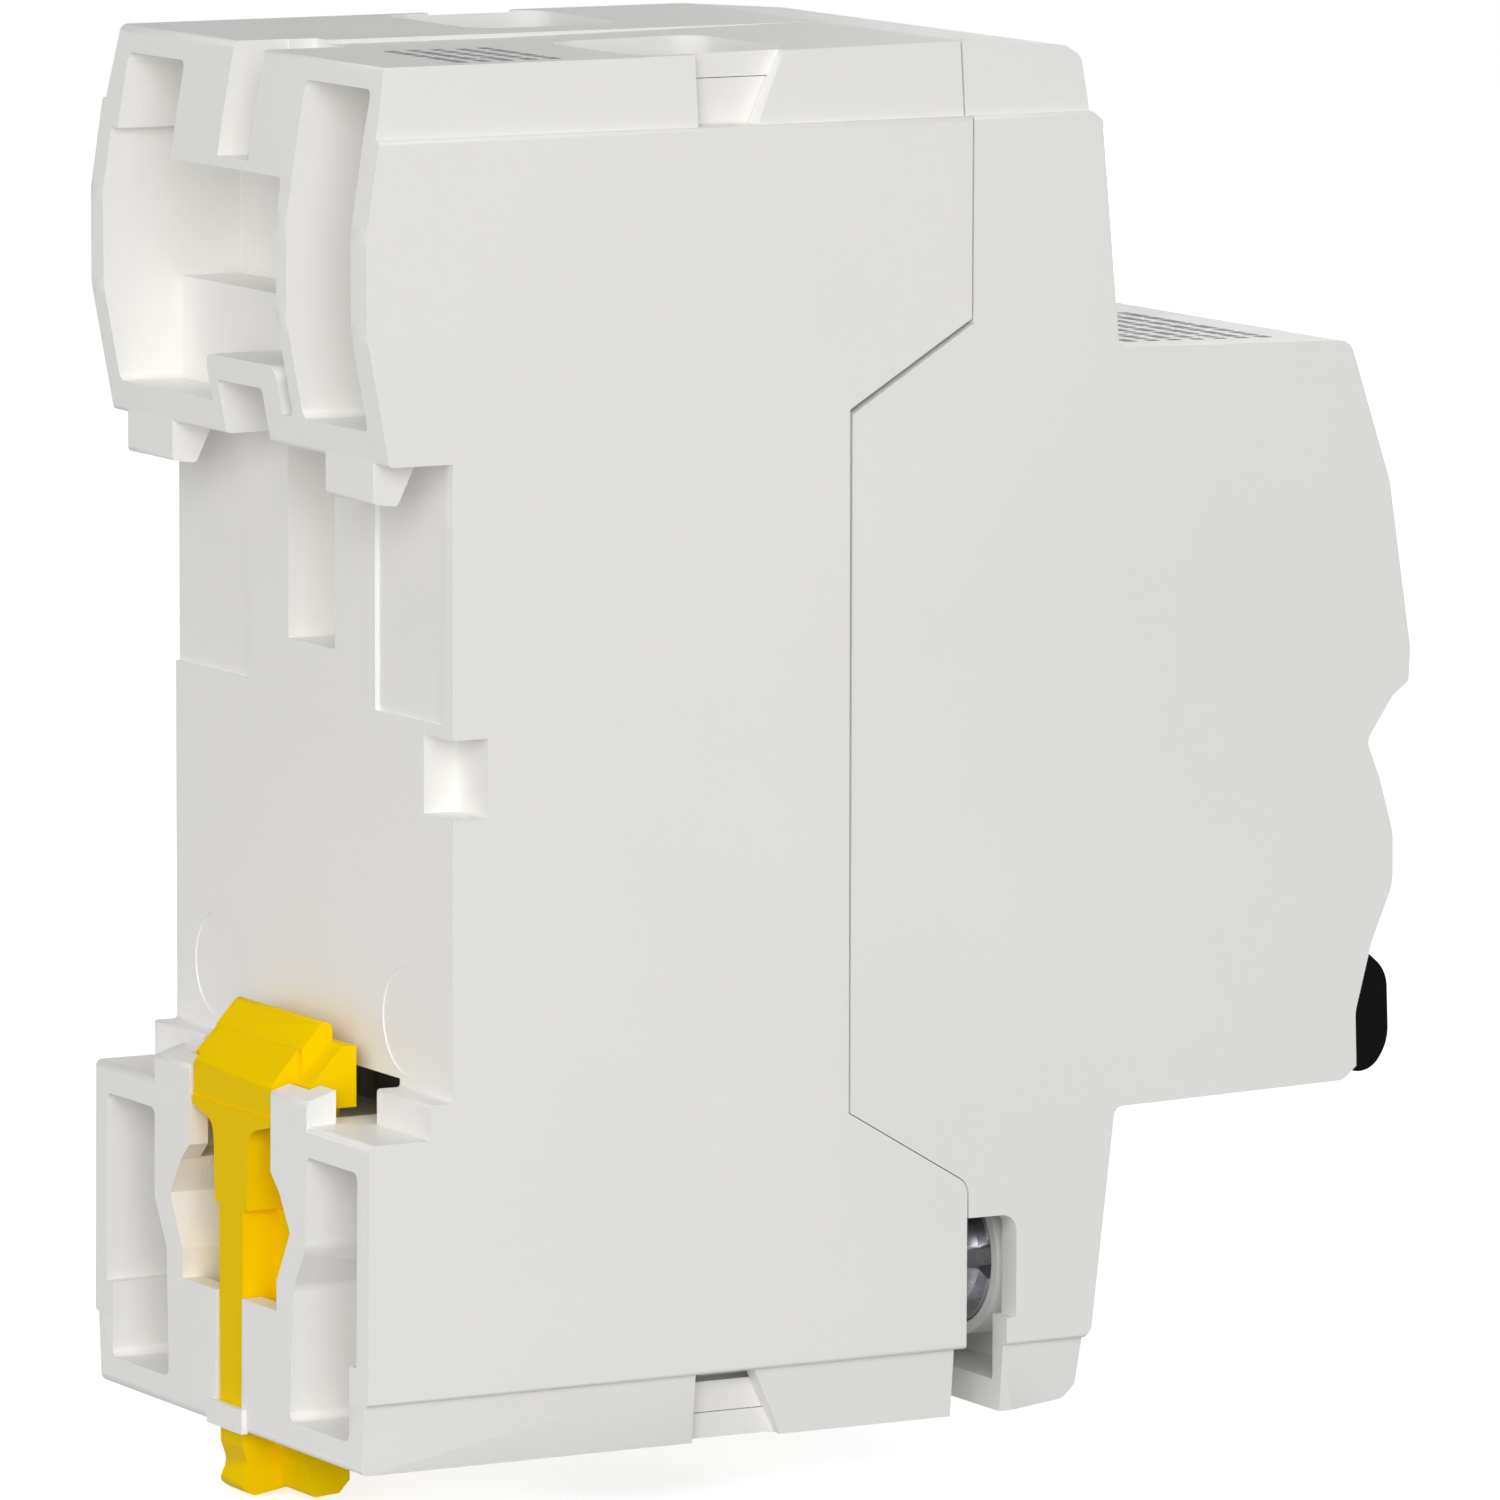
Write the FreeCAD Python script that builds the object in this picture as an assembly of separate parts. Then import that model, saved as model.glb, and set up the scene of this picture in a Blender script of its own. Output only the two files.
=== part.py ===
import FreeCAD, Part
import math
import os

# Two-module DIN-rail residual-current circuit breaker.
# Millimetres. X is the width, -Y is the front (toggle), +Y is the rail side, Z is up.
# The origin is the middle of the face that rests on the 35 mm rail.

# ---------------------------------------------------------------- driving sizes
WIDTH = 36.0                # two modules of 18
HALF = WIDTH / 2
STRIP_HALF_IN = 17.55       # the end strips stand back from the side faces
STRIP_HALF_OUT = 17.1
STRIP_TOP = 37.2            # where the top strip starts
STRIP_BOTTOM = -35.85
TOP = 41.55
BOTTOM = -40.05
WALL = 1.7
END_WALL = 1.6              # top and bottom walls
INNER_HALF = HALF - WALL    # half width of the hollow
SEAT_EDGE = 18.5            # the rail seat reaches this far up and down
FLOOR_BACK = -5.2           # back of the hollow
POCKET_FLOOR = -3.5
PARTING = -34.25            # rear shell and front cover meet here
PARTING_MID = -26.2         # and here beside the nose
PART_GAP = 0.12

TERM_X = 10.0               # terminal centres
TERM_Z = 31.5
CONTACT_X = 12.0            # contact centres
COLLAR_END = -38.0          # back end of the rings round the screw heads

PIVOT_Y = -53.1             # toggle axis
PIVOT_Z = -8.4
DRUM_R = 10.0
TOGGLE_HALF = 8.0
REST_ANGLE = 34.0           # handle points this far below level when off
TRAVEL = 66.0               # handle travel up to on
CRANK_R = 6.5
CRANK_RISE = CRANK_R * math.sin(math.radians(REST_ANGLE))
CARRIER_TRAVEL = CRANK_RISE + CRANK_R * math.sin(math.radians(TRAVEL - REST_ANGLE))

BUTTON_X = 12.2
BUTTON_Z = 10.5
TOROID_Y = -17.0
TOROID_Z = -16.0
LEVER_Y = -32.8             # trip lever axis
LEVER_Z = 16.4
PLUNGER_Z = 19.0
FIT = 0.05                  # radial running fit


# ---------------------------------------------------------------- shape helpers
def vec(x, y, z):
    return FreeCAD.Vector(x, y, z)


def box(x0, x1, y0, y1, z0, z1):
    low = vec(min(x0, x1), min(y0, y1), min(z0, z1))
    return Part.makeBox(abs(x1 - x0), abs(y1 - y0), abs(z1 - z0), low)


def outline(points, place):
    """Closed wire through flat points; a third number rounds that corner."""
    count = len(points)
    spans = []
    for i in range(count):
        here = vec(points[i][0], points[i][1], 0)
        radius = points[i][2] if len(points[i]) > 2 else 0
        if not radius:
            spans.append((here, None, here))
            continue
        before = (vec(points[i - 1][0], points[i - 1][1], 0) - here).normalize()
        after = points[(i + 1) % count]
        after = (vec(after[0], after[1], 0) - here).normalize()
        half = before.getAngle(after) / 2
        run = radius / math.tan(half)
        middle = (before + after).normalize() * (radius / math.sin(half) - radius)
        spans.append((here + before * run, here + middle, here + after * run))
    edges = []
    for i in range(count):
        start, middle, end = spans[i]
        if middle is not None:
            edges.append(Part.Arc(place(start), place(middle), place(end)).toShape())
        following = spans[(i + 1) % count][0]
        if end.distanceToPoint(following) > 1e-6:
            edges.append(Part.makeLine(place(end), place(following)))
    return Part.Wire(edges)


def prism_x(points, x0, x1):
    """Points are (y, z)."""
    wire = outline(points, lambda p: vec(x0, p.x, p.y))
    return Part.Face(wire).extrude(vec(x1 - x0, 0, 0))


def prism_y(points, y0, y1):
    """Points are (x, z)."""
    wire = outline(points, lambda p: vec(p.x, y0, p.y))
    return Part.Face(wire).extrude(vec(0, y1 - y0, 0))


def prism_z(points, z0, z1):
    """Points are (x, y)."""
    wire = outline(points, lambda p: vec(p.x, p.y, z0))
    return Part.Face(wire).extrude(vec(0, 0, z1 - z0))


def rod_x(radius, x0, x1, y, z):
    return Part.makeCylinder(radius, x1 - x0, vec(x0, y, z), vec(1, 0, 0))


def rod_y(radius, y0, y1, x, z):
    return Part.makeCylinder(radius, y1 - y0, vec(x, y0, z), vec(0, 1, 0))


def rod_z(radius, z0, z1, x, y):
    return Part.makeCylinder(radius, z1 - z0, vec(x, y, z0), vec(0, 0, 1))


def fuse(shapes):
    whole = shapes[0].multiFuse(shapes[1:]) if len(shapes) > 1 else shapes[0]
    return whole.removeSplitter()


def cut(shape, tools):
    return shape.cut(tools) if tools else shape


def mirrored(shape):
    return shape.mirror(vec(0, 0, 0), vec(1, 0, 0))


def flipped(shape):
    return shape.mirror(vec(0, 0, 0), vec(0, 0, 1))


def both(shape):
    return [shape, mirrored(shape)]


def rect(a0, a1, b0, b1, radius=0.0):
    corners = [(a0, b0), (a1, b0), (a1, b1), (a0, b1)]
    return [(a, b, radius) if radius else (a, b) for a, b in corners]


def coil(radius, wire_r, length, turns, start, axis):
    """Open helical spring; start is the centre of its first end."""
    helix = Part.makeHelix(length / turns, length, radius)
    ring = Part.Wire([Part.makeCircle(wire_r, vec(radius, 0, 0), vec(0, 1, 0))])
    spring = Part.Wire(helix.Edges).makePipeShell([ring], True, True)
    turn = FreeCAD.Rotation(vec(0, 0, 1), axis)
    spring.Placement = FreeCAD.Placement(start, turn)
    return spring


def loft_z(low_points, z0, high_points, z1):
    low = outline(low_points, lambda p: vec(p.x, p.y, z0))
    high = outline(high_points, lambda p: vec(p.x, p.y, z1))
    return Part.makeLoft([low, high], True, True)


# ---------------------------------------------------------------- outer outlines
def body_outline():
    """Side view of the whole closed housing, (y, z), going round from the top back."""
    back = [
        (3.90, TOP, 0.5), (4.70, 37.25), (5.54, 31.76, 6), (5.51, 26.13, 6), (4.06, SEAT_EDGE, 0.3),
        (0, SEAT_EDGE), (0, -SEAT_EDGE, 0.2), (1.5, -SEAT_EDGE, 0.2), (1.5, -20.6),
        (5.42, -20.6, 0.4), (5.52, -35.9), (5.57, BOTTOM, 0.5),
    ]
    front = [
        (-37.8, -39.97), (-41.25, -39.55, 0.8), (-42.05, -38.75, 0.6), (-42.37, -35.8),
        (-42.75, -35.36), (-44.27, -22.1, 0.6), (-60.15, -21.69, 1.0), (-61.08, -20.88),
        (-60.98, -17.6, 2.5), (-62.05, -13.5), (-63.52, -10.0, 3.0), (-63.5, -6.9, 3.0),
        (-62.55, -3.6), (-61.62, -1.25, 0.8), (-63.4, 1.4), (-64.5, 2.2, 0.5), (-64.6, 4.2, 3.0),
        (-63.04, 14.37), (-60.2, 22.9, 1.0), (-44.22, 23.2, 0.6), (-42.99, 36.66),
        (-42.33, 37.2), (-41.95, 40.4, 0.8), (-40.95, 41.05), (-33.9, TOP),
    ]
    return back + front


def body_silhouette():
    """Front view of the housing, (x, z): full width with narrower end strips."""
    right = [
        (STRIP_HALF_OUT, BOTTOM - 1), (STRIP_HALF_OUT, BOTTOM), (STRIP_HALF_IN, STRIP_BOTTOM),
        (HALF, STRIP_BOTTOM, 0.25), (HALF, STRIP_TOP, 0.25), (STRIP_HALF_IN, STRIP_TOP),
        (STRIP_HALF_OUT, TOP), (STRIP_HALF_OUT, TOP + 1),
    ]
    left = [(-p[0],) + p[1:] for p in reversed(right)]
    return right + left


def rear_region(gap, lift=0.0):
    """Everything behind the parting line moved back by gap, (y, z); lift opens its upper slant."""
    return [
        (20, 60), (-33.9 + gap, 60), (-33.9 + gap, STRIP_TOP), (PARTING + gap, STRIP_TOP),
        (PARTING + gap, 25.05 + lift), (PARTING_MID + gap + lift / 4, 20.1 + lift),
        (PARTING_MID + gap, -21.1), (PARTING + gap, -25.9, 1.2),
        (PARTING + gap, STRIP_BOTTOM), (-33.65 + gap, STRIP_BOTTOM),
        (-33.65 + gap, -60), (20, -60),
    ]


def outer_body():
    solid = prism_x(body_outline(), -HALF - 1, HALF + 1)
    solid = solid.common(prism_y(body_silhouette(), -80, 20))
    return solid


def strip_notches():
    """Shallow slant-sided notches in the end strips."""
    tools = []
    depth = 0.8
    for top, limit in ((True, TOP), (False, -BOTTOM)):
        start = STRIP_TOP if top else -STRIP_BOTTOM
        points = [(-16.2, start), (-16.2, limit + 1), (-22.6, limit + 1), (-20.1, start)]
        notch = prism_x(points, STRIP_HALF_OUT - depth, HALF + 1)
        tools += both(notch if top else flipped(notch))
    return tools


# ---------------------------------------------------------------- rear shell
def rear_hollow():
    tools = [box(-INNER_HALF, INNER_HALF, -60, FLOOR_BACK, BOTTOM + END_WALL, TOP - END_WALL)]
    tools += both(box(4.8, 13.0, FLOOR_BACK - 1, -2.1, -16.8, 16.8))
    return tools


def upper_pockets():
    """Cored pockets in the back of the upper block."""
    far = POCKET_FLOOR
    tools = [
        prism_y(rect(-16, -7.8, 20.4, 40.0, 0.5), far, 9),
        prism_y([(15.45, 35), (15.45, 40.0, 0.5), (8.0, 40.0, 0.5), (8.0, 35)], far, 9),
        prism_y([(-6.5, 26.5), (16.3, 26.5), (16.3, 35.5), (8.0, 35.5), (8.0, 34.3), (-6.5, 34.3, 0.5)],
                far, 9),
        prism_y([(-6.5, 20.4, 0.5), (16.3, 20.4, 0.5), (16.3, 27), (-6.5, 27)], 0.4, 9),
        prism_y(rect(-2, 2, 35.6, TOP + 1), 0.4, 9),
        prism_y(rect(-2, 2, 34.9, 36), 1.6, 9),
    ]
    return tools


def upper_notch_frame():
    """U-shaped frame round the release notch, flush with the sloping back."""
    frame = prism_y([(-5.1, SEAT_EDGE), (-5.1, 23.2, 0.8), (3.9, 23.2, 0.8), (4.1, SEAT_EDGE)], 0, 9)
    return frame.common(outer_body())


def upper_notch():
    return prism_y([(-2.9, 17), (2.9, 17), (2.9, 21.7, 0.3), (-2.9, 21.7, 0.3)], -3.6, 9)


def rail_hooks():
    points = [(4.1, 19), (4.1, 16.2, 0.3), (2.55, 16.0, 0.3), (1.4, 18.4), (1.4, 19)]
    return both(prism_x(points, 10.0, 16.0))


def seat_details():
    """Shallow panels, centre slot, corner notch and round moulding marks of the rail seat."""
    near = prism_y([(-8.2, 3.2), (-16.7, 3.2), (-17.15, SEAT_EDGE), (-8.2, SEAT_EDGE)], -0.25, 0.5)
    far = box(8.2, HALF + 1, -0.25, 0.5, 3.2, SEAT_EDGE)
    corner = box(-HALF - 1, -14.35, -2.25, 1, -2.1, 2.55)
    slot = box(-3, 3, -3.6, 1, 6.2, SEAT_EDGE + 0.5)
    return [near, far, corner, slot] + both(rod_y(3.2, -0.08, 1, 12.3, -14.5))


def clip_space():
    """Guide channel and back slot for the rail clip."""
    half_slot = [
        (5.35, -17), (5.35, -23.95), (6.5, -25.0), (7.9, -27.2), (6.2, -30.3), (6.2, -32.05),
        (1.7, -32.05), (1.7, -42),
    ]
    slot = half_slot + [(-x, z) for x, z in reversed(half_slot)]
    half_channel = [(8.0, -18), (8.0, -24.6), (6.4, -24.9), (7.9, -27.2), (6.2, -30.3), (6.2, -42)]
    channel = half_channel + [(-x, z) for x, z in reversed(half_channel)]
    return [
        prism_y(slot, 3.5, 9),
        prism_y(channel, -0.4, 4.2),
        box(-11.3, 11.3, -2.4, 3.5, -20.6, -18),
        box(-11.3, 11.3, -6, -0.4, -21.6, -18),
    ]


def lower_lip():
    """The back wall of the lower block rises beside the clip."""
    return both(prism_x([(3.1, -21.5), (3.1, -18.5, 0.2), (5.42, -19.2, 0.3), (5.42, -21.5)], 5.35, 10.0))


def channel_bridge():
    """Strap across the foot of the clip channel, a little proud so that the rib passes under it."""
    return box(-2.3, 2.3, 5.44, 5.85, BOTTOM, -38.6)


def lower_pockets():
    points = [
        (16.5, -22.4, 0.5), (10.0, -22.4, 0.5), (10.0, -27.7, 1.5), (8.35, -30.5, 1.5),
        (8.0, -38.3, 0.5), (15.6, -38.3, 0.5), (15.6, -33.8), (16.5, -33.8),
    ]
    return both(prism_y(points, POCKET_FLOOR, 9))


def entry_holes(level):
    """Funnel-shaped wire entries of one end, both poles."""
    end = TOP if level > 0 else -BOTTOM
    mouth = rect(4.0, 16.4, -23.4, -13.0, 2.0)
    throat = rect(5.4, 14.6, -22.6, -13.8, 1.4)
    tools = [
        loft_z(throat, end - 2.7, mouth, end + 0.05),
        prism_z(throat, 36.0, end - 2.6),
        prism_z(mouth, end, end + 1),
    ]
    tools = [tool if level > 0 else flipped(tool) for tool in tools]
    return tools + [mirrored(tool) for tool in tools]


def end_steps():
    """Lowered half and release recess of the top face, centre groove of the bottom face."""
    return [
        prism_x([(6, TOP - 0.25), (-12, TOP - 0.25), (-33, TOP - 0.01), (-33, TOP + 1), (6, TOP + 1)],
                -HALF, 0.2),
        box(-2, 1.8, -1.3, 6, TOP - 0.75, TOP + 1),
        box(-0.9, 0.9, -34.5, -16.2, BOTTOM - 1, BOTTOM + 0.45),
    ]


def rear_housing():
    shell = outer_body().common(prism_x(rear_region(PART_GAP / 2, 0.3), -30, 30))
    shell = cut(shell, rear_hollow() + upper_pockets())
    shell = fuse([shell, upper_notch_frame()] + rail_hooks() + lower_lip())
    cuts = [upper_notch()] + seat_details() + clip_space() + lower_pockets()
    cuts += strip_notches() + end_steps() + entry_holes(1) + entry_holes(-1)
    return fuse([cut(shell, cuts), channel_bridge()]).removeSplitter()


def terminal_insert(level):
    """Inner moulding that parts the poles, guides the wires and carries the screws."""
    side = INNER_HALF - FIT
    back = FLOOR_BACK - FIT
    end = (TOP if level > 0 else -BOTTOM) - END_WALL - FIT
    floor_front = -21.5 if level > 0 else -14.5
    collar_low = 37.0 if level > 0 else 36.6
    pieces = [
        box(-0.9, 0.9, -33.0, back, 26.0, end),
        box(-side, side, floor_front, back, 25.6, 26.6),
        box(-side, side, -33.4, -32.0, 26.8, end),
        box(-side, side, -24.6, -11.8, collar_low, end),
    ]
    insert = fuse(pieces)
    insert = insert if level > 0 else flipped(insert)
    holes = [rod_y(2.3, -34, -31, x, level * TERM_Z) for x in (TERM_X, -TERM_X)]
    return cut(insert, holes + entry_holes(level)).removeSplitter()


# ---------------------------------------------------------------- front cover
def cover_hollow():
    points = [
        (-20, 39.9), (-39.7, 39.5), (-40.4, 37.0), (-41.3, 36.3), (-42.6, 21.5), (-59.1, 21.3),
        (-61.4, 14.2), (-62.9, 5.0), (-62.8, 3.4), (-60.2, -0.9), (-61.9, -7.5), (-61.9, -9.8),
        (-59.4, -16.0), (-59.4, -20.2), (-42.7, -20.5), (-41.1, -34.9), (-40.5, -38.1), (-20, -38.4),
    ]
    return prism_x(points, -INNER_HALF, INNER_HALF)


def label_recess(grow, depth):
    """Slab let into the sloping top of the front face."""
    top = vec(0, -60.2, 22.9)
    low = vec(0, -63.04, 14.37)
    along = (low - top).normalize()
    inward = vec(0, -along.z, along.y)
    start = top + along * (1.3 - grow)
    end = top + along * (8.0 + grow)
    corners = [start - inward * grow, end - inward * grow, end + inward * depth, start + inward * depth]
    points = [(c.y, c.z) for c in corners]
    return prism_x(points, -15.5 - grow, 15.5 + grow)


def cover_openings():
    """Side windows beside the lower screws and the slot they open into at the bottom end."""
    window = [(-30, -28.0), (-37.57, -28.0, 1.0), (-37.57, -34.2), (-36.95, -34.2), (-36.95, -38.4),
              (-30, -38.4)]
    tools = both(prism_x(window, INNER_HALF - 0.5, HALF + 1))
    return tools + both(box(0.9, HALF + 1, -36.95, -30, BOTTOM - 2, -34.2))


def screw_collars():
    """Rings inside the cover that steer a driver on to the screw heads."""
    return [rod_y(5.0, -42.0, COLLAR_END, x, z) for x in (TERM_X, -TERM_X) for z in (TERM_Z, -TERM_Z)]


def button_guide(grow, y0, y1):
    return prism_y(rect(BUTTON_X - 2.5 - grow, BUTTON_X + 2.5 + grow,
                        BUTTON_Z - 2.5 - grow, BUTTON_Z + 2.5 + grow, 0.6 + grow), y0, y1)


def cover_snaps():
    """Tongues that reach into the rear shell and hold the two together."""
    tongue = box(INNER_HALF - 1.3, INNER_HALF - 0.15, -38, -28.5, 22.2, 24.6)
    root = box(INNER_HALF - 1.3, INNER_HALF + 0.3, -38, -35.0, 22.2, 24.6)
    one = tongue.fuse(root)
    return both(one) + both(flipped(one))


def front_cover():
    shell = outer_body().cut(prism_x(rear_region(-PART_GAP / 2), -30, 30))
    shell = cut(shell, [cover_hollow()])
    guide = button_guide(1.2, -62.6, -57.6).common(prism_x(body_outline(), 0, HALF))
    shell = fuse([shell, guide] + cover_snaps() + screw_collars())
    tools = cover_openings()
    tools.append(box(-TOGGLE_HALF - 0.3, TOGGLE_HALF + 0.3, -70, -57.5, -18.9, 1.7))
    tools.append(label_recess(0.1, 0.85))
    tools.append(button_guide(0.1, -70, -56))
    for x in (TERM_X, -TERM_X):
        for z in (TERM_Z, -TERM_Z):
            tools.append(rod_y(3.8, -50, -38.5, x, z))
            tools.append(rod_y(4.3, -41.2, -37, x, z))
    return cut(shell, tools).removeSplitter()


def front_label_plate():
    return label_recess(0, 0.8)


# ---------------------------------------------------------------- rail clip
def clip_head(rise):
    """Hooked head; rise thickens its back."""
    back = 5.26 + rise
    points = [(1.5, -21.4), (1.5, -15.65), (2.0, -15.2, 0.4), (back, -18.95, 0.5), (back, -21.4)]
    return prism_x(points, -5.1, 5.1)


def clip_terrace(shift, rise):
    """Raised step of the head, on the far side of a curved edge."""
    region = prism_y([(6, -14), (1.2 + shift, -15.0), (5.9 + shift, -19.2, 2.5), (3.0 + shift, -22.5),
                      (6, -23)], 0, 9)
    return clip_head(rise).common(region)


def din_clip():
    """Sliding clip: hooked head, guided plate, back rib and pull foot."""
    crest = prism_x([(1.5, -19), (1.5, -15.65), (2.0, -15.2, 0.4), (3.5, -16.85), (3.5, -19)], -5.6, 5.6)
    lugs = prism_x([(0.9, -20.15), (0.9, -16.55), (1.8, -16.5, 0.3), (3.9, -18.75, 0.3), (3.9, -20.15)],
                   -7.5, 7.5)
    plate = prism_x([(0.9, -17.6), (0.9, -43.45), (2.8, -43.6, 0.5), (3.0, -41.6), (3.3, -40.6),
                     (3.3, -26.8), (2.65, -26.8), (2.65, -17.6)], -5.3, 5.3)
    half_rib = [(5.1, -20.9), (5.1, -21.4), (2.3, -22.1, 1.2), (2.1, -26.8), (1.55, -26.8), (1.45, -40.2)]
    rib = prism_y(half_rib + [(-p[0],) + p[1:] for p in reversed(half_rib)], 2.5, 5.36)
    foot_bar = prism_x([(0.25, -41.7, 0.3), (0.25, -42.7), (0.94, -43.45, 0.4), (2.83, -43.6, 0.4),
                        (2.95, -41.7)], -5.3, 5.3)
    tab = prism_x([(2.5, -40.0), (5.36, -40.0), (5.36, -41.0), (4.95, -42.2, 1.0), (5.45, -43.4, 0.4),
                   (4.6, -43.95, 0.5), (2.5, -43.6)], -1.45, 1.45)
    terraces = [clip_terrace(-4.9, 0.14), clip_terrace(-0.9, 0.28)]
    return fuse([clip_head(0), crest, lugs, plate, rib, foot_bar, tab] + terraces)


# ---------------------------------------------------------------- toggle
def turned_toggle(shape):
    """The handle is drawn level and turned down to its rest angle."""
    shape.rotate(vec(0, PIVOT_Y, PIVOT_Z), vec(1, 0, 0), REST_ANGLE)
    return shape


def toggle_lever():
    y = PIVOT_Y
    z = PIVOT_Z
    drum = rod_x(DRUM_R, -TOGGLE_HALF, TOGGLE_HALF, y, z)
    drum = drum.common(box(-20, 20, y - 20, y - 2.6, z - 20, z + 20))
    handle = prism_x([
        (y - 6, z + 3.4), (y - 18.3, z + 1.95, 2.2), (y - 20.9, z - 1.6, 3.0), (y - 20.9, z - 4.55, 1.7),
        (y - 12.5, z - 4.15), (y - 6, z - 4.3),
    ], -TOGGLE_HALF, TOGGLE_HALF)
    cheek = rod_x(8.6, 6.4, TOGGLE_HALF, y, z)
    hub = rod_x(2.9, 5.4, TOGGLE_HALF, y, z)
    lever = fuse([drum, handle] + both(cheek) + both(hub))
    pin_hole = rod_x(1.5 + FIT, -20, 20, y, z)
    crank_hole = rod_x(0.9, -20, 20, y + CRANK_R, z)
    hollow = rod_x(DRUM_R - 1.8, -6.4, 6.4, y, z).common(box(-20, 20, y - 20, y + 20, z - 20, z + 20))
    keep = box(-20, 20, y - 20, y + 20, z - 4.0, z + 3.0)
    hollow = hollow.cut(keep)
    lever = cut(lever, [pin_hole, crank_hole, hollow])
    return turned_toggle(lever.removeSplitter())


def toggle_pin():
    return rod_x(1.5, -10.3, 10.3, PIVOT_Y, PIVOT_Z)


def crank_pin():
    return turned_toggle(rod_x(0.9, -TOGGLE_HALF, TOGGLE_HALF, PIVOT_Y + CRANK_R, PIVOT_Z))


def toggle_spring():
    spring = coil(2.0, 0.28, 4.2, 5, vec(-5.0, PIVOT_Y, PIVOT_Z), vec(1, 0, 0))
    return spring


# ---------------------------------------------------------------- switching mechanism
def mechanism_frame():
    """Folded plate cage that carries the toggle axis and guides the contact carrier."""
    cheek = prism_x([
        (-59.0, -14.5, 2), (-59.0, -2.5, 2), (-52.0, 14.2, 1), (-30.5, 14.2, 1), (-30.5, 13.0),
        (-34.2, 11.0, 1), (-34.2, -19.5, 1), (-52.0, -19.5, 2),
    ], 8.5, 9.5)
    roof = box(-9.5, 9.5, -52.0, -30.5, 13.0, 14.2)
    base = box(-9.5, 9.5, -41.5, -34.2, -19.5, -18.3)
    ear = prism_x([(-35.2, 14.0), (-35.2, 18.2, 1.6), (-30.6, 18.2, 1.6), (-30.6, 14.0)], 5.2, 6.4)
    frame = fuse(both(cheek) + [roof, base] + both(ear))
    holes = [rod_x(1.5, -20, 20, PIVOT_Y, PIVOT_Z), rod_x(0.8, -20, 20, LEVER_Y, LEVER_Z)]
    return cut(frame, holes)


def crank_height():
    """Height of the crank pin at rest."""
    return PIVOT_Z + CRANK_RISE


def contact_carrier():
    """Sliding insulating carrier, driven through a cross slot by the crank pin."""
    z = crank_height()
    block = box(-8.3, 8.3, -42.0, -36.0, -6.0, 6.0)
    yoke = box(-2.6, 2.6, -49.4, -41.0, z - 2.3, z + 2.3)
    web = box(-2.6, 2.6, -37.0, -25.0, 4.0, 12.5)
    beam = box(-14.2, 14.2, -31.0, -25.0, 9.5, 12.5)
    posts = []
    for x in (CONTACT_X, -CONTACT_X):
        posts.append(rod_z(0.9, 4.7, 10.0, x, -28.0))
        posts.append(rod_z(1.6, 4.6, 5.1, x, -28.0))
    slot = prism_x(rect(-48.75, -45.3, z - 1.03, z + 1.03, 0.9), -5, 5)
    seat = rod_z(2.7, -7, -3.5, 0, -39.0)
    carrier = fuse([block, yoke, web, beam] + posts)
    return cut(carrier, [slot, seat])


def opening_spring():
    return coil(1.9, 0.35, 13.9, 7, vec(0, -39.0, -17.93), vec(0, 0, 1))


def moving_contact(x):
    bar = prism_z([(x - 2, -34.4, 1), (x + 2, -34.4, 1), (x + 2, -21.6, 1), (x - 2, -21.6, 1)], 5.3, 6.5)
    return bar.cut(rod_z(1.0, 5, 7, x, -28.0))


def moving_tips(x):
    return [rod_z(1.5, 4.5, 5.3, x, y) for y in (-32.8, -23.2)]


def contact_spring(x):
    return coil(1.7, 0.22, 2.4, 4, vec(x, -28.0, 6.8), vec(0, 0, 1))


def fixed_height():
    return 4.5 - CARRIER_TRAVEL - 0.05


def fixed_tips(x):
    top = fixed_height()
    return [rod_z(1.5, top - 0.8, top, x, y) for y in (-32.8, -23.2)]


def upper_conductor(side):
    """Bar from the upper terminal down to the front fixed contact."""
    top = fixed_height() - 0.8
    pieces = [
        box(8.0, 12.0, -23.9, -22.7, 23.8, 36.4),
        box(8.0, 14.0, -38.2, -22.7, 23.8, 25.0),
        box(10.0, 14.0, -38.2, -37.0, top - 1.2, 25.0),
        box(10.0, 14.0, -38.2, -31.2, top - 1.2, top),
    ]
    bar = fuse(pieces)
    return bar if side > 0 else mirrored(bar)


def lower_conductor(side):
    """Bar from the rear fixed contact through the toroid to the lower terminal."""
    top = fixed_height() - 0.8
    pieces = [
        box(10.0, 14.0, -24.8, -15.8, top - 1.2, top),
        box(1.8, 14.0, -18.2, -15.8, top - 1.2, top),
        box(1.8, 4.0, -18.2, -15.8, -25.2, top),
        box(1.8, 12.0, -18.2, -15.8, -25.2, -24.0),
        box(8.0, 12.0, -23.9, -15.8, -25.2, -24.0),
        box(8.0, 12.0, -23.9, -22.7, -36.0, -24.0),
    ]
    bar = fuse(pieces)
    return bar if side > 0 else mirrored(bar)


def arc_plates(side):
    plates = []
    for i in range(6):
        z = -6.5 + 2.4 * i
        plate = prism_z([(10.9, -49.0), (15.4, -49.0), (15.4, -39.6), (13.9, -39.6), (13.15, -42.6, 0.6),
                         (12.4, -39.6), (10.9, -39.6)], z, z + 0.9)
        plates.append(plate)
    stack = Part.makeCompound(plates)
    return stack if side > 0 else mirrored(stack)


def arc_holder(side):
    inner = box(10.2, 10.8, -49.4, -39.4, -7.6, 8.0)
    outer = box(15.5, 16.1, -49.4, -39.4, -7.6, 8.0)
    back = box(10.2, 16.1, -50.0, -49.2, -7.6, 8.0)
    holder = fuse([inner, outer, back])
    return holder if side > 0 else mirrored(holder)


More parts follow.
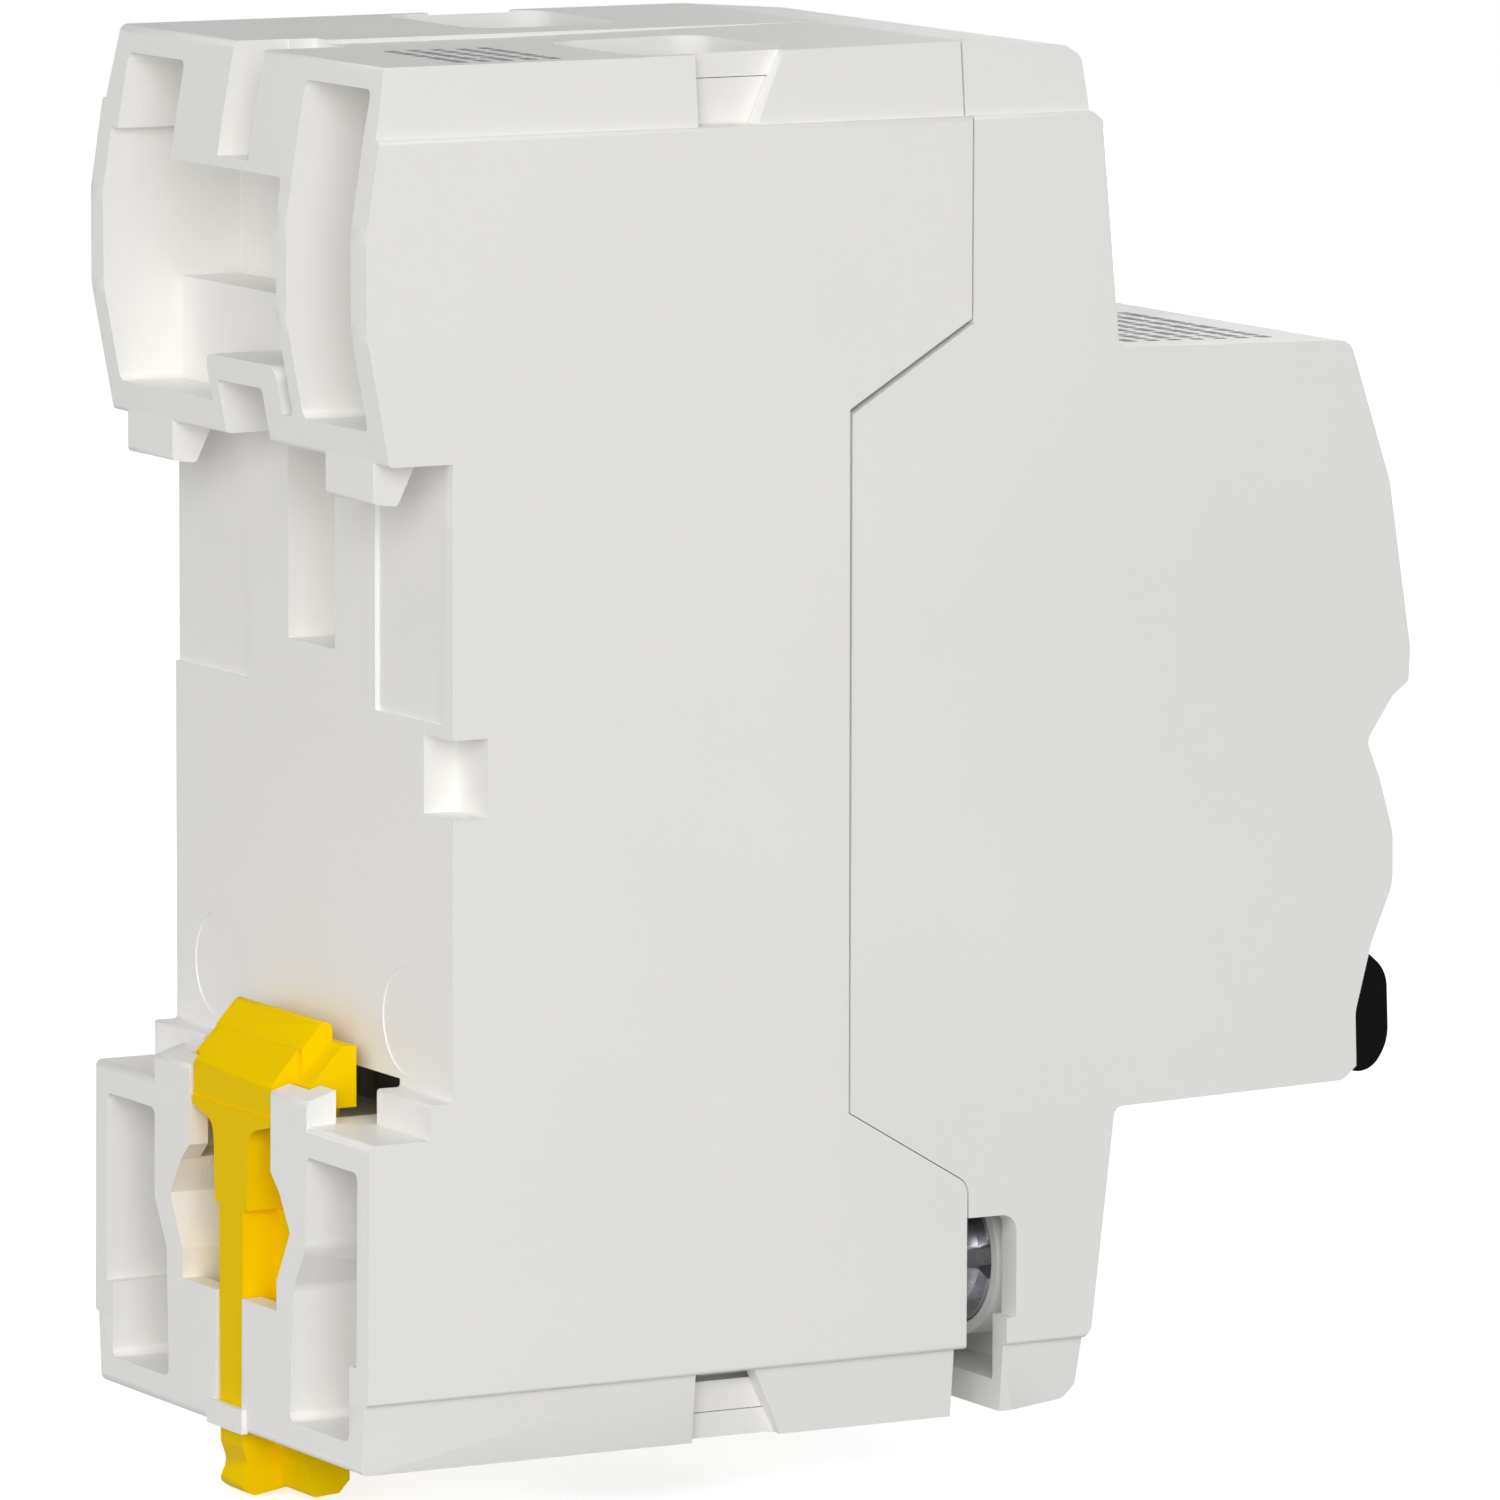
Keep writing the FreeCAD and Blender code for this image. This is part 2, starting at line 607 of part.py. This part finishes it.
# ---------------------------------------------------------------- terminals
def terminal_cage(side, level):
    """Rising cage: open for the wire along Z, threaded wall towards the screw head."""
    outer = prism_y(rect(5.5, 14.5, 27.4, 36.2, 0.8), -25.9, -12.4)
    inner = box(6.7, 13.3, -24.3, -13.8, 20, 40)
    hole = rod_y(2.0 + FIT, -27, -24, TERM_X, TERM_Z)
    cage = outer.cut([inner, hole])
    cage = cage if side > 0 else mirrored(cage)
    return cage if level > 0 else flipped(cage)


def terminal_screw(side, level):
    """Clamping screw: slotted head in the cover's ring, shoulder on the insert, shank in the cage."""
    front = -40.6
    head = rod_y(4.15, front, COLLAR_END + 0.1, TERM_X, TERM_Z)
    head = head.makeChamfer(0.35, [e for e in head.Edges if abs(e.CenterOfMass.y - front) < 0.01])
    shoulder = rod_y(3.0, COLLAR_END, -33.45, TERM_X, TERM_Z)
    shank = rod_y(2.0, -33.5, -24.1, TERM_X, TERM_Z)
    notch = prism_y([(2.6, -0.5), (4.6, -1.3), (4.6, 1.3), (2.6, 0.5)], front - 1, COLLAR_END + 0.11)
    notches = both(notch)
    for one in notches:
        one.translate(vec(TERM_X, 0, TERM_Z))
    cross = [
        box(TERM_X - 2.3, TERM_X + 2.3, front - 1, front + 1.5, TERM_Z - 0.45, TERM_Z + 0.45),
        box(TERM_X - 0.45, TERM_X + 0.45, front - 1, front + 1.5, TERM_Z - 2.3, TERM_Z + 2.3),
    ]
    screw = fuse([head, shoulder, shank]).cut(notches + cross).removeSplitter()
    screw = screw if side > 0 else mirrored(screw)
    return screw if level > 0 else flipped(screw)


# ---------------------------------------------------------------- residual-current parts
def ring(outer, inner, z0, z1):
    return rod_z(outer, z0, z1, 0, TOROID_Y).cut(rod_z(inner, z0 - 1, z1 + 1, 0, TOROID_Y))


def toroid_case():
    low = TOROID_Z - 5.2
    high = TOROID_Z + 5.0
    shell = ring(11.5, 5.0, low, high)
    return shell.cut(ring(10.7, 5.8, low + 0.8, high + 1))


def toroid_lid():
    high = TOROID_Z + 5.0
    return ring(11.5, 5.0, high, high + 0.8)


def toroid_core():
    return ring(9.4, 7.1, TOROID_Z - 3.4, TOROID_Z + 3.6)


def toroid_winding():
    """Secondary winding on one part of the core."""
    turns = []
    for i in range(13):
        angle = math.radians(-78 + 13 * i)
        turn = box(-0.45, 0.45, 5.95, 10.55, -4.2, 4.6)
        turn = turn.cut(box(-1, 1, 6.95, 9.55, -3.5, 3.7))
        turn.rotate(vec(0, 0, 0), vec(0, 0, 1), math.degrees(angle))
        turn.translate(vec(0, TOROID_Y, TOROID_Z))
        turns.append(turn)
    return Part.makeCompound(turns)


def trip_relay_case():
    outer = prism_y(rect(-8, 8, 1.0, 22.0, 1.0), -21.0, -6.4)
    inner = prism_y(rect(-7, 7, 2.0, 21.0, 0.5), -20.0, -7.4)
    hole = rod_y(1.5 + FIT, -22, -19, 0, PLUNGER_Z)
    return outer.cut([inner, hole])


def trip_relay_coil():
    return rod_z(4.2, 4.0, 13.0, 0, -13.7).cut(rod_z(1.6, 3, 14, 0, -13.7))


def trip_relay_yoke():
    """U-shaped magnet yoke through the coil."""
    core = rod_z(1.5, 3.0, 14.4, 0, -13.7)
    low = box(-3.5, 3.5, -18.6, -9.0, 2.4, 3.4)
    leg = box(-3.5, 3.5, -9.4, -8.4, 2.4, 14.4)
    return fuse([core, low, leg])


def trip_plunger():
    tip_y = LEVER_Y + 1.2 + FIT + 1.5
    rod = rod_y(1.5, tip_y, -12.4, 0, PLUNGER_Z)
    tip = Part.makeSphere(1.5, vec(0, tip_y, PLUNGER_Z))
    return rod.fuse(tip).removeSplitter()


def trip_lever():
    """Rocking latch lever that the plunger tips over."""
    y = LEVER_Y
    z = LEVER_Z
    blade = prism_x([(y - 1.2, z - 1.3), (y + 1.2, z - 1.3), (y + 1.2, z + 5.2, 0.6), (y, z + 5.2, 0.6),
                     (y - 1.8, z + 1.0)], -4.9, 4.9)
    boss = rod_x(1.7, -4.9, 4.9, y, z)
    lever = fuse([blade, boss])
    return lever.cut(rod_x(0.8 + FIT, -9, 9, y, z))


def trip_lever_pin():
    return rod_x(0.8, -6.9, 6.9, LEVER_Y, LEVER_Z)


# ---------------------------------------------------------------- test circuit
def test_button():
    z0 = BUTTON_Z - 2.5
    z1 = BUTTON_Z + 2.5
    side = prism_x([(-62.75, z1, 0.4), (-63.65, z0, 0.4), (-57.5, z0), (-57.5, z1)], 8, 16)
    cap = button_guide(0, -70, -57.5).common(side)
    return cap.fuse(rod_y(1.1, -57.6, -53.3, BUTTON_X, BUTTON_Z)).removeSplitter()


def test_spring():
    return coil(1.8, 0.25, 5.2, 5, vec(BUTTON_X, -57.2, BUTTON_Z), vec(0, 1, 0))


def test_board():
    return prism_y(rect(9.8, 16.1, 8.4, 20.6, 0.6), -51.7, -50.5)


def test_resistor():
    body = rod_x(1.1, 10.6, 15.4, -53.0, 17.6)
    legs = [rod_y(0.3, -53.0, -51.8, x, 17.6) for x in (10.4, 15.6)]
    ends = [rod_x(0.3, 10.1, 10.9, -53.0, 17.6), rod_x(0.3, 15.1, 15.9, -53.0, 17.6)]
    return fuse([body] + legs + ends)


# ---------------------------------------------------------------- export
def nodes():
    parts = {
        "rear_housing": rear_housing(),
        "terminal_insert_top": terminal_insert(1),
        "terminal_insert_bottom": terminal_insert(-1),
        "front_cover": front_cover(),
        "front_label_plate": front_label_plate(),
        "din_clip": din_clip(),
        "toggle_lever": toggle_lever(),
        "toggle_pin": toggle_pin(),
        "toggle_crank_pin": crank_pin(),
        "toggle_spring": toggle_spring(),
        "mechanism_frame": mechanism_frame(),
        "contact_carrier": contact_carrier(),
        "opening_spring": opening_spring(),
        "toroid_case": toroid_case(),
        "toroid_lid": toroid_lid(),
        "toroid_core": toroid_core(),
        "toroid_winding": toroid_winding(),
        "trip_relay_case": trip_relay_case(),
        "trip_relay_coil": trip_relay_coil(),
        "trip_relay_yoke": trip_relay_yoke(),
        "trip_plunger": trip_plunger(),
        "trip_lever": trip_lever(),
        "trip_lever_pin": trip_lever_pin(),
        "test_button": test_button(),
        "test_spring": test_spring(),
        "test_board": test_board(),
        "test_resistor": test_resistor(),
    }
    for pole, side in (("line", -1), ("neutral", 1)):
        x = side * CONTACT_X
        parts["moving_contact_" + pole] = moving_contact(x)
        parts["moving_tips_" + pole] = Part.makeCompound(moving_tips(x))
        parts["contact_spring_" + pole] = contact_spring(x)
        parts["fixed_tips_" + pole] = Part.makeCompound(fixed_tips(x))
        parts["upper_conductor_" + pole] = upper_conductor(side)
        parts["lower_conductor_" + pole] = lower_conductor(side)
        parts["arc_plates_" + pole] = arc_plates(side)
        parts["arc_holder_" + pole] = arc_holder(side)
        for end, level in (("top", 1), ("bottom", -1)):
            parts["terminal_cage_" + end + "_" + pole] = terminal_cage(side, level)
            parts["terminal_screw_" + end + "_" + pole] = terminal_screw(side, level)
    return parts


os.makedirs("parts", exist_ok=True)
for name, shape in nodes().items():
    shape.exportStep("parts/" + name + ".step")
    print(name, shape.isValid(), len(shape.Solids), round(shape.Volume, 1))
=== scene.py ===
import math

import bmesh
import bpy
from mathutils import Matrix, Vector


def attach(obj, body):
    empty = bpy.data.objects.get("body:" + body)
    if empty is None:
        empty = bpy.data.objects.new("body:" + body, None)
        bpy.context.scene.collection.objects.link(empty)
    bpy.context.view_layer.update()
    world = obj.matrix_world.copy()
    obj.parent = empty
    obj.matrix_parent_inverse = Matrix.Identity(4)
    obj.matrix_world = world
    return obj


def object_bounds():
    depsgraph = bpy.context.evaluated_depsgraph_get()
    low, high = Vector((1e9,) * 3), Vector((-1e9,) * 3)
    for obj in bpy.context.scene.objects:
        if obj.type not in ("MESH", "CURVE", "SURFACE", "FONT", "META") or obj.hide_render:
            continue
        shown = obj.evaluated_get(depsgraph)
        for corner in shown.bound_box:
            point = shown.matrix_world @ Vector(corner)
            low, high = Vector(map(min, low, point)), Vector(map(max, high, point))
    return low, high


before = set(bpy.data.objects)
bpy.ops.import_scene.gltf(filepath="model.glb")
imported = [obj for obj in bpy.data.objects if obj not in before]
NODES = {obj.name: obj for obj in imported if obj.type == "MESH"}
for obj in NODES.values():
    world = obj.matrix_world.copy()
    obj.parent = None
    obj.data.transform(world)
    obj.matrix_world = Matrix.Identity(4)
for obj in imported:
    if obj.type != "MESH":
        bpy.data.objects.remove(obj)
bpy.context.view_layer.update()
MM = 0.001

# Camera behind the device on its -X side, a little above it (mm, degrees)
CAMERA_PLACE = (-633.33, 319.75, 95.22)
CAMERA_FORWARD = (0.86795, -0.47847, -0.13315)
CAMERA_ROLL = 0.165
CAMERA_LENS = 292.6
CAMERA_SENSOR = 36.0
CAMERA_CLIP = (0.05, 20.0)  # nearest and farthest, m

# Lamps, each aimed at LAMP_AIM: name, place and side length in m, power in W
LAMP_AIM = (0, -0.03, 0)
LAMPS = [
    ("Key", (-0.69, 0.38, 0.22), 0.6, 4.45),
    ("Back", (-0.15, 0.85, 0.20), 0.7, 1.5),
    ("Front", (0.50, -0.75, 0.06), 0.8, 4.0),
    ("Above", (0.0, -0.03, 2.2), 3.0, 10.0),
]
WORLD_STRENGTH = 0.27

# Floor: side length and drop below the device in m, its two greys and its glow
FLOOR_SIZE = 12.0
FLOOR_DROP = 0.0002
FLOOR_GREYS = ((0.93, 0.93, 0.93), (0.94, 0.94, 0.94))
FLOOR_GLOW = 0.65

# Moulded edges: radius by start of the node's name (mm), least angle that is rounded (degrees)
EDGE_WIDTHS = {"rear_housing": 0.2, "front_cover": 0.2, "din_clip": 0.16, "toggle_lever": 0.3,
               "terminal_screw": 0.1, "terminal_cage": 0.12}
EDGE_SEGMENTS = 3
EDGE_ANGLE = 32
WELD_REACH = 0.000005  # m

# Surfaces that carry print and the ink on them (mm)
NOSE_TOP_Y = -44.22
NOSE_TOP_Z = 23.2
NOSE_TOP_SLOPE = 0.3 / 15.98
END_FACE_Z = 41.3
INK_LIFT = 0.005
INK_THICKNESS = 0.012

# Rows of print: where the first row starts, the rows' ends, dash height and row pitch (mm)
NOSE_PRINT_Y = -46.5
NOSE_PRINT = {"seed": 11, "rows": 7, "x0": -15.0, "x1": 2.0, "height": 0.75, "pitch": 1.55}
END_PRINT_Y = -1.6
END_PRINT = {"seed": 29, "rows": 5, "x0": -15.6, "x1": -6.2, "height": 0.7, "pitch": 1.5}
DASH_LEAST, DASH_SPREAD = 0.5, 1.6
SPACE_LEAST, SPACE_SPREAD = 0.35, 0.3

# Repeatable number sequence behind the dash lengths
SEQUENCE_FACTOR = 1103515245
SEQUENCE_STEP = 12345
SEQUENCE_RANGE = 2147483648

# Noise scales of the plastics and metals (per m)
DRIFT_SCALE = 45.0
GRAIN_SCALE = 2600.0
SPECK_SCALE = 900.0
TARNISH_SCALE = 260.0
FLOOR_SCALE = 3.0
FAINT_WAVES = 0.000008  # bump height, m
LAYER_STEPS = 0.00003  # bump height, m


# ---------------------------------------------------------------- material helpers
# Colour sockets of the Mix node, whose names repeat for each data type
MIX_FIRST, MIX_SECOND, MIX_RESULT = "6", "7", 2


class Shader:
    """A node material built in a few calls."""

    def __init__(self, name):
        self.material = bpy.data.materials.new(name)
        self.material.use_nodes = True
        self.tree = self.material.node_tree
        self.surface = self.tree.nodes["Principled BSDF"]
        self.place = self.tree.nodes.new("ShaderNodeTexCoord").outputs["Object"]

    def node(self, kind, **sockets):
        made = self.tree.nodes.new(kind)
        for key, value in sockets.items():
            self.put(made, key.replace("_", " "), value)
        return made

    def put(self, node, key, value):
        socket = node.inputs[int(key)] if key.isdigit() else node.inputs[key]
        if isinstance(value, bpy.types.NodeSocket):
            self.tree.links.new(value, socket)
        else:
            socket.default_value = value

    def set(self, **sockets):
        for key, value in sockets.items():
            self.put(self.surface, key.replace("_", " "), value)

    def stretched(self, x, y, z):
        mapping = self.node("ShaderNodeMapping", Vector=self.place)
        mapping.inputs["Scale"].default_value = (x, y, z)
        return mapping.outputs["Vector"]

    def noise(self, scale, detail=3.0, roughness=0.5, place=None):
        made = self.node("ShaderNodeTexNoise", Scale=scale, Detail=detail, Roughness=roughness)
        self.put(made, "Vector", place or self.place)
        return made.outputs["Fac"]

    def span(self, value, low, high, from_low, from_high):
        made = self.node("ShaderNodeMapRange", Value=value)
        made.inputs["From Min"].default_value = from_low
        made.inputs["From Max"].default_value = from_high
        made.inputs["To Min"].default_value = low
        made.inputs["To Max"].default_value = high
        return made.outputs["Result"]

    def blend(self, amount, first, second):
        made = self.tree.nodes.new("ShaderNodeMix")
        made.data_type = "RGBA"
        self.put(made, "0", amount)
        self.put(made, MIX_FIRST, (*first, 1.0))
        self.put(made, MIX_SECOND, (*second, 1.0))
        return made.outputs[MIX_RESULT]

    def bump(self, height, distance, under=None):
        made = self.node("ShaderNodeBump", Height=height, Distance=distance, Strength=1.0)
        if under is not None:
            self.put(made, "Normal", under)
        return made.outputs["Normal"]


def plastic(name, colour, rough=0.42, grain=0.000012, drift=0.012, specular=0.4):
    """Moulded plastic: slow colour drift, fine spark-eroded grain and faint flow waviness."""
    s = Shader(name)
    slow = s.noise(DRIFT_SCALE, 3.0)
    fine = s.noise(GRAIN_SCALE, 2.0)
    specks = s.noise(SPECK_SCALE, 4.0, 0.65)
    if drift:
        dark = tuple(c * (1.0 - drift) for c in colour)
        light = tuple(min(1.0, c * (1.0 + drift)) for c in colour)
        s.set(Base_Color=s.blend(s.span(slow, 0.0, 1.0, 0.3, 0.7), dark, light))
    else:
        s.set(Base_Color=(*colour, 1.0))
    s.set(Roughness=s.span(specks, rough - 0.05, rough + 0.06, 0.3, 0.7))
    waves = s.bump(slow, FAINT_WAVES)
    s.set(Normal=s.bump(fine, grain, waves), Specular_IOR_Level=specular)
    return s.material


def metal(name, colour, rough, stretch=(1, 1, 1), scale=SPECK_SCALE, spots=0.12):
    """Metal with drawn or ground scratches and uneven tarnish."""
    s = Shader(name)
    lines = s.noise(scale, 4.0, 0.6, s.stretched(*stretch))
    cloud = s.noise(TARNISH_SCALE, 4.0, 0.6)
    dull = tuple(c * (1.0 - 2.5 * spots) for c in colour)
    s.set(Base_Color=s.blend(s.span(cloud, 0.0, 1.0, 0.35, 0.75), colour, dull))
    s.set(Metallic=1.0, Roughness=s.span(lines, rough - 0.07, rough + 0.12, 0.3, 0.7))
    s.set(Normal=s.bump(lines, FAINT_WAVES))
    return s.material


def layered(name, colour, second, scale, rough):
    """Tape-wound or laminated surface with fine layers."""
    s = Shader(name)
    wave = s.node("ShaderNodeTexWave", Scale=scale, Distortion=0.6, Detail=2.0)
    wave.bands_direction = "Z"
    s.put(wave, "Vector", s.place)
    lines = wave.outputs["Fac"]
    s.set(Base_Color=s.blend(lines, colour, second), Roughness=rough)
    s.set(Normal=s.bump(lines, LAYER_STEPS))
    return s.material


MATERIALS = {
    "body": plastic("BodyPlastic", (0.915, 0.906, 0.880), rough=0.44),
    "cover": plastic("CoverPlastic", (0.91, 0.904, 0.880), rough=0.42),
    "label": plastic("LabelPlastic", (0.80, 0.80, 0.80), rough=0.25, grain=0.000003, drift=0.01),
    "clip": plastic("ClipPlastic", (1.0, 0.67, 0.0), rough=0.34, grain=0.000006, drift=0.0,
                    specular=0.008),
    "toggle": plastic("TogglePlastic", (0.0035, 0.0035, 0.0036), rough=0.36, grain=0.00001,
                      drift=0.1, specular=0.06),
    "carrier": plastic("CarrierPlastic", (0.03, 0.03, 0.033), rough=0.5, grain=0.00002, drift=0.08),
    "inner": plastic("InnerPlastic", (0.11, 0.115, 0.12), rough=0.5, grain=0.00002, drift=0.06),
    "button": plastic("ButtonPlastic", (0.42, 0.43, 0.45), rough=0.3, grain=0.000006, drift=0.02),
    "fibre": layered("PressedFibre", (0.36, 0.23, 0.12), (0.28, 0.17, 0.09), scale=900.0, rough=0.7),
    "steel": metal("ZincSteel", (0.62, 0.63, 0.66), rough=0.30),
    "frame": metal("PressedSteel", (0.50, 0.51, 0.53), rough=0.36, stretch=(1, 8, 1)),
    "spring": metal("SpringWire", (0.42, 0.42, 0.43), rough=0.28, stretch=(12, 1, 1)),
    "copper": metal("CopperBar", (0.74, 0.36, 0.20), rough=0.32, stretch=(1, 6, 1)),
    "silver": metal("SilverAlloy", (0.80, 0.78, 0.73), rough=0.25),
    "core": layered("TapeCore", (0.20, 0.205, 0.22), (0.11, 0.115, 0.125), scale=2600.0, rough=0.4),
    "winding": metal("EnamelledWire", (0.45, 0.16, 0.05), rough=0.3, stretch=(1, 1, 20), scale=500.0),
    "board": plastic("CircuitBoard", (0.03, 0.13, 0.05), rough=0.35, grain=0.00001, drift=0.1),
    "resistor": plastic("ResistorBody", (0.42, 0.27, 0.13), rough=0.35, grain=0.00001, drift=0.06),
    "ink": plastic("GreyInk", (0.33, 0.33, 0.34), rough=0.6, grain=0.000004, drift=0.05),
}

NODE_LOOKS = [
    ("rear_housing", "body"), ("front_cover", "cover"), ("front_label_plate", "label"),
    ("terminal_insert", "body"),
    ("din_clip", "clip"), ("toggle_lever", "toggle"), ("contact_carrier", "carrier"),
    ("toroid_case", "inner"), ("toroid_lid", "inner"), ("toroid_core", "core"),
    ("toroid_winding", "winding"), ("trip_relay_case", "inner"), ("trip_relay_coil", "winding"),
    ("trip_relay_yoke", "frame"), ("trip_lever", "inner"), ("test_button", "button"),
    ("test_board", "board"), ("test_resistor", "resistor"), ("mechanism_frame", "frame"),
    ("opening_spring", "spring"), ("toggle_spring", "spring"), ("test_spring", "spring"),
    ("contact_spring", "spring"), ("arc_holder", "fibre"), ("arc_plates", "steel"),
    ("moving_contact", "copper"), ("upper_conductor", "copper"), ("lower_conductor", "copper"),
    ("moving_tips", "silver"), ("fixed_tips", "silver"), ("terminal_cage", "steel"),
    ("terminal_screw", "steel"), ("trip_plunger", "steel"), ("toggle_pin", "steel"),
    ("toggle_crank_pin", "steel"), ("trip_lever_pin", "steel"),
]


def look_of(node):
    """Look of the longest name in NODE_LOOKS that the node's name starts with."""
    fits = [pair for pair in NODE_LOOKS if node.startswith(pair[0])]
    return max(fits, key=lambda pair: len(pair[0]))[1]


# ---------------------------------------------------------------- frame nodes
def dress_nodes():
    """Gives every CAD node its material and small moulded edge radii."""
    for name, piece in NODES.items():
        piece.data.materials.clear()
        piece.data.materials.append(MATERIALS[look_of(name)])
        width = next((w for key, w in EDGE_WIDTHS.items() if name.startswith(key)), 0.0)
        if width:
            weld = piece.modifiers.new("Weld", "WELD")
            weld.merge_threshold = WELD_REACH
            bevel = piece.modifiers.new("EdgeRadius", "BEVEL")
            bevel.width = width * MM
            bevel.segments = EDGE_SEGMENTS
            bevel.limit_method = "ANGLE"
            bevel.angle_limit = math.radians(EDGE_ANGLE)
            bevel.harden_normals = True
            bevel.use_clamp_overlap = True


dress_nodes()


# ---------------------------------------------------------------- printed marks
def dashes(seed, rows, x0, x1, pitch):
    """Start and end of each dash, and how far its row lies from the first."""
    value = seed
    for row in range(rows):
        x = x0
        while x < x1:
            value = (value * SEQUENCE_FACTOR + SEQUENCE_STEP) % SEQUENCE_RANGE
            length = DASH_LEAST + DASH_SPREAD * (value / SEQUENCE_RANGE)
            end = min(x + length, x1)
            yield x, end, row * pitch
            x = end + SPACE_LEAST + SPACE_SPREAD * ((value >> 8) % 100) / 100


def print_rows(name, place, seed, rows, x0, x1, height, pitch):
    """Rows of short generic ink dashes, a hair above the surface that place() gives."""
    mesh = bmesh.new()
    for x, end, v in dashes(seed, rows, x0, x1, pitch):
        corners = [(x, v), (end, v), (end, v + height), (x, v + height)]
        low = [mesh.verts.new(place(*corner)) for corner in corners]
        high = [mesh.verts.new(place(*corner, INK_THICKNESS)) for corner in corners]
        mesh.faces.new(high)
        for i in range(4):
            j = (i + 1) % 4
            mesh.faces.new((low[i], low[j], high[j], high[i]))
    bmesh.ops.recalc_face_normals(mesh, faces=mesh.faces)
    data = bpy.data.meshes.new(name)
    mesh.to_mesh(data)
    mesh.free()
    piece = bpy.data.objects.new(name, data)
    bpy.context.collection.objects.link(piece)
    data.materials.append(MATERIALS["ink"])
    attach(piece, "housing")


def on_nose_top(u, v, lift=0.0):
    """Sloping top of the nose: v runs forward from the shoulder."""
    y = NOSE_PRINT_Y - v
    z = NOSE_TOP_Z + (y - NOSE_TOP_Y) * NOSE_TOP_SLOPE + INK_LIFT + lift
    return Vector((u, y, z)) * MM


def on_end_face(u, v, lift=0.0):
    """Lowered half of the top end face: v runs forward from the back edge."""
    return Vector((u, END_PRINT_Y - v, END_FACE_Z + INK_LIFT + lift)) * MM


print_rows("nose_print", on_nose_top, **NOSE_PRINT)
print_rows("end_print", on_end_face, **END_PRINT)


# ---------------------------------------------------------------- floor, light and camera
def floor():
    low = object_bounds()[0]
    bpy.ops.mesh.primitive_plane_add(size=FLOOR_SIZE, location=(0, 0, low.z - FLOOR_DROP))
    ground = bpy.context.object
    ground.name = "Floor"
    s = Shader("PaleFloor")
    s.set(Base_Color=s.blend(s.noise(FLOOR_SCALE), *FLOOR_GREYS), Roughness=0.8)
    s.set(Emission_Strength=FLOOR_GLOW, Emission_Color=(1.0, 1.0, 1.0, 1.0))
    ground.data.materials.append(s.material)
    ground.visible_diffuse = False  # the lamps and the world light the device, not the floor


def area_light(name, place, size, power):
    data = bpy.data.lights.new(name, "AREA")
    data.shape = "RECTANGLE"
    data.size = size
    data.size_y = size
    data.energy = power
    lamp = bpy.data.objects.new(name, data)
    lamp.location = place
    lamp.rotation_mode = "QUATERNION"
    lamp.rotation_quaternion = (Vector(LAMP_AIM) - Vector(place)).to_track_quat("-Z", "Y")
    bpy.context.collection.objects.link(lamp)


def lights():
    world = bpy.data.worlds.new("Studio")
    bpy.context.scene.world = world
    world.use_nodes = True
    background = world.node_tree.nodes["Background"]
    background.inputs["Color"].default_value = (1.0, 1.0, 1.0, 1.0)
    background.inputs["Strength"].default_value = WORLD_STRENGTH
    for lamp in LAMPS:
        area_light(*lamp)


def camera():
    data = bpy.data.cameras.new("Camera")
    eye = bpy.data.objects.new("Camera", data)
    bpy.context.collection.objects.link(eye)
    data.sensor_width = CAMERA_SENSOR
    data.lens = CAMERA_LENS
    data.clip_start, data.clip_end = CAMERA_CLIP
    forward = Vector(CAMERA_FORWARD).normalized()
    right = forward.cross(Vector((0, 0, 1))).normalized()
    up = right.cross(forward)
    roll = math.radians(CAMERA_ROLL)
    right_rolled = right * math.cos(roll) + up * math.sin(roll)
    up_rolled = up * math.cos(roll) - right * math.sin(roll)
    turn = Matrix((right_rolled, up_rolled, -forward)).transposed()
    eye.rotation_mode = "QUATERNION"
    eye.rotation_quaternion = turn.to_quaternion()
    eye.location = Vector(CAMERA_PLACE) * MM
    bpy.context.scene.camera = eye


floor()
lights()
camera()

bpy.context.scene.view_settings.view_transform = "Standard"
